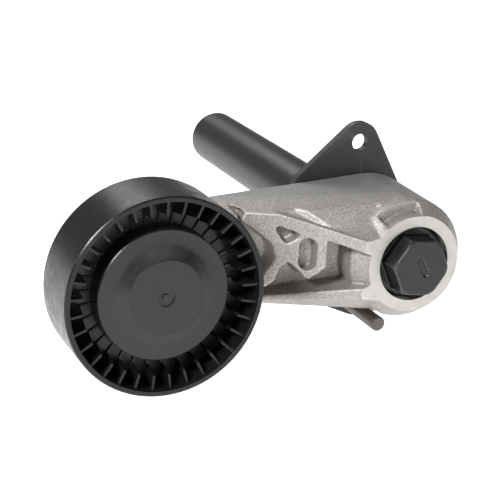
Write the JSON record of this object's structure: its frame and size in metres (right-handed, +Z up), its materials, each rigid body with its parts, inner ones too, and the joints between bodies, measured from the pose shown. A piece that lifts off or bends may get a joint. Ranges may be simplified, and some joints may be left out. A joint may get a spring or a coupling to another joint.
{
  "type": "belt tensioner",
  "caption": "Automatic belt tensioner: a smooth idler pulley on a die-cast swing arm, sprung by a torsion bar in a long steel tube behind a mounting plate.",
  "frame": {"origin": "on the pivot axis, in the back face of the base plate, which rests on the engine", "axes": "+Y along the pivot axis towards the torsion tube's free end, +Z up, with the bolt lug above the pivot; the arm points to -X and 3.4 degrees up"},
  "size_m": [0.1573, 0.2032, 0.0777],
  "materials": {
    "plate_black": "satin black phosphate with fine handling marks",
    "tube_black": "satin black coating",
    "drive_black": "black oxide, slightly glossy",
    "pin_steel": "dark phosphated steel, bare tip",
    "steel_plain": "turned steel",
    "spring_steel": "ground spring steel",
    "bolt_steel": "zinc-plated steel",
    "slinger_steel": "pressed sheet steel",
    "bearing_steel": "ground bearing steel",
    "cast_aluminium": "as-cast and tumbled, with one machined ring",
    "bush_plastic": "natural bearing polymer",
    "cage_plastic": "glass-filled nylon",
    "seal_rubber": "matt nitrile rubber",
    "pulley_plastic": "black glass-filled nylon, semi-gloss rim",
    "cap_plastic": "dark grey-black moulded nylon"
  },
  "bodies": {
    "base": {"base_plate": "plate_black", "torsion_tube": "tube_black", "tube_end_plug": "steel_plain", "torsion_bar": "spring_steel", "stop_pin": "pin_steel", "thrust_washer": "bush_plastic"},
    "arm": {"arm_casting": "cast_aluminium", "drive_head": "drive_black", "front_bush": "bush_plastic", "rear_bush": "bush_plastic", "pulley_bolt": "bolt_steel", "pulley_spacer": "steel_plain", "rear_slinger": "slinger_steel", "bearing_inner_ring": "bearing_steel"},
    "ball_train": {"bearing_balls": "bearing_steel", "bearing_cage": "cage_plastic"},
    "pulley": {"pulley_wheel": "pulley_plastic", "bearing_outer_ring": "bearing_steel", "bearing_seal_front": "seal_rubber", "bearing_seal_rear": "seal_rubber", "dust_cap": "cap_plastic"}
  },
  "joints": [
    {"name": "arm_swing", "type": "hinge", "parent": "base", "child": "arm", "pos_m": [0, 0, 0], "axis": [0, -1, 0], "range_deg": [0, 15], "stiffness_Nm_per_rad": 85, "springref_deg": -12.03},
    {"name": "pulley_spin", "type": "hinge", "parent": "arm", "child": "pulley", "pos_m": [-0.09913, -0.0442, 0.00589], "axis": [0, 1, 0], "continuous": true},
    {"name": "ball_train_spin", "type": "hinge", "parent": "arm", "child": "ball_train", "pos_m": [-0.09913, -0.0442, 0.00589], "axis": [0, 1, 0], "continuous": true}
  ],
  "couplings": [
    {"joint": "ball_train_spin", "follows": "pulley_spin", "ratio": 0.61842}
  ]
}
